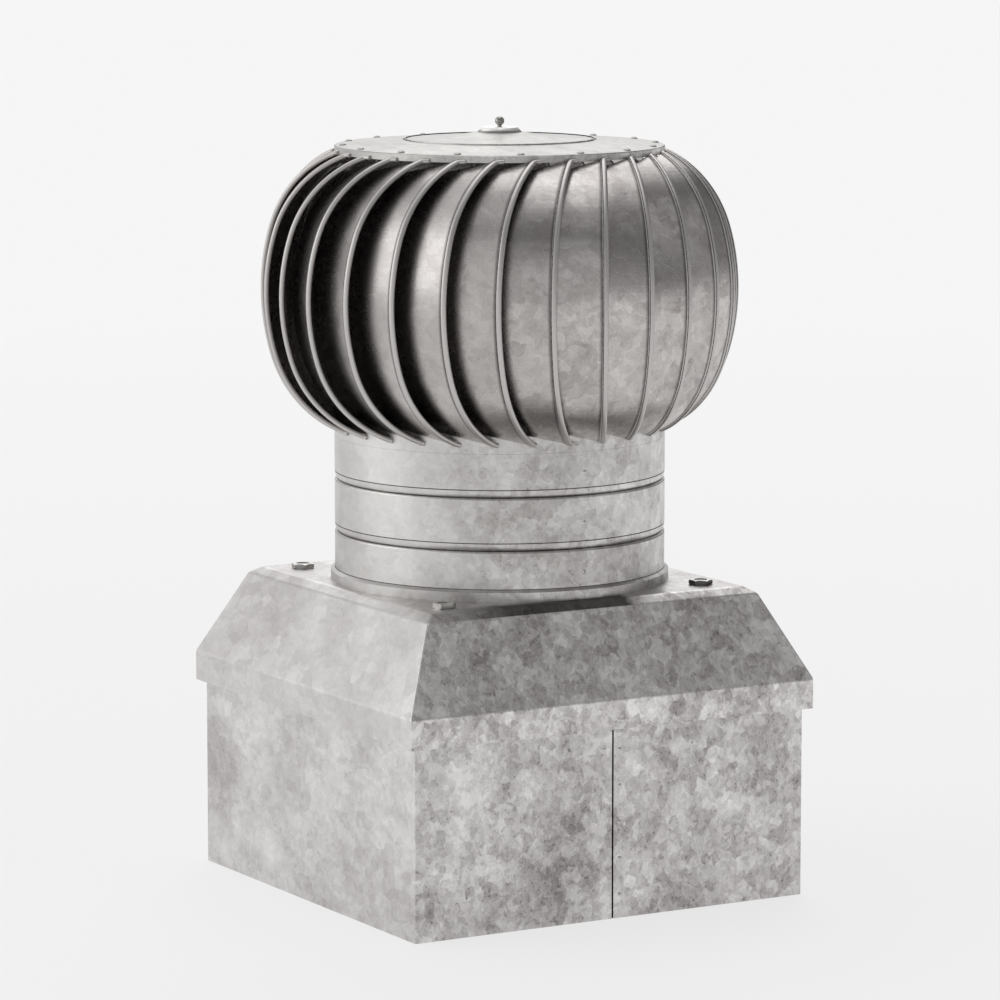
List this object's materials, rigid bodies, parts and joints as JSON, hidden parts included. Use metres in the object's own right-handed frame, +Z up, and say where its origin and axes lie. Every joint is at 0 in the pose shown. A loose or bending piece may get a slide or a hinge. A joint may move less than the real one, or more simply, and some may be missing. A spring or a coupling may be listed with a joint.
{
  "type": "wind-driven roof turbine ventilator",
  "caption": "Galvanised roof exhaust turbine: curved-vane head that the wind turns on a fixed spindle, above a round throat, sloped hood and square curb box.",
  "frame": {"origin": "under the spindle's axis, on the flat face of the curb box's foot", "axes": "+Z up along the spindle, -Y towards the wall with the riveted seam, X and Y square to the curb box's walls"},
  "size_m": [0.4386, 0.4386, 0.7107],
  "materials": {
    "curb_sheet": "weathered galvanised, matt spangle",
    "hood_sheet": "weathered galvanised, matt spangle",
    "throat_sheet": "galvanised, satin spangle",
    "vane_sheet": "galvanised, satin sheen",
    "crown_sheet": "galvanised, satin spangle",
    "bearing_steel": "ground bearing steel",
    "stud_steel": "dark threaded steel",
    "fastener_zinc": "dull zinc plate",
    "bracket_steel": "dull zinc-dipped steel"
  },
  "bodies": {
    "base": {"curb_box": "curb_sheet", "curb_rivets": "fastener_zinc", "hood": "hood_sheet", "corner_gussets": "bracket_steel", "hold_down_studs": "stud_steel", "stud_nuts": "fastener_zinc", "throat_collar": "throat_sheet", "throat_lower": "throat_sheet", "throat_middle": "throat_sheet", "throat_upper": "throat_sheet", "throat_rivets": "fastener_zinc", "lower_brace": "bracket_steel", "upper_brace": "bracket_steel", "spindle": "bearing_steel", "spindle_nuts": "fastener_zinc", "lower_bearing_inner": "bearing_steel", "upper_bearing_inner": "bearing_steel", "bearing_balls": "bearing_steel"},
    "turbine": {"rotor_ring": "throat_sheet", "rotor_spider": "bracket_steel", "lower_bearing_housing": "bracket_steel", "lower_bearing_outer": "bearing_steel", "crown": "crown_sheet", "crown_rivets": "fastener_zinc", "stiffening_ring": "bracket_steel", "upper_bearing_housing": "bracket_steel", "housing_rivets": "fastener_zinc", "upper_bearing_outer": "bearing_steel", "weather_cap": "crown_sheet", "cap_boss": "crown_sheet", "ball_finial": "fastener_zinc", "vane_01": "vane_sheet", "vane_02": "vane_sheet", "vane_03": "vane_sheet", "vane_04": "vane_sheet", "vane_05": "vane_sheet", "vane_06": "vane_sheet", "vane_07": "vane_sheet", "vane_08": "vane_sheet", "vane_09": "vane_sheet", "vane_10": "vane_sheet", "vane_11": "vane_sheet", "vane_12": "vane_sheet", "vane_13": "vane_sheet", "vane_14": "vane_sheet", "vane_15": "vane_sheet", "vane_16": "vane_sheet", "vane_17": "vane_sheet", "vane_18": "vane_sheet", "vane_19": "vane_sheet", "vane_20": "vane_sheet", "vane_21": "vane_sheet", "vane_22": "vane_sheet", "vane_23": "vane_sheet", "vane_24": "vane_sheet", "vane_25": "vane_sheet", "vane_26": "vane_sheet", "vane_27": "vane_sheet", "vane_28": "vane_sheet"}
  },
  "joints": [
    {"name": "turbine_spin", "type": "hinge", "parent": "base", "child": "turbine", "pos_m": [0, 0, 0.55], "axis": [0, 0, 1], "continuous": true}
  ]
}
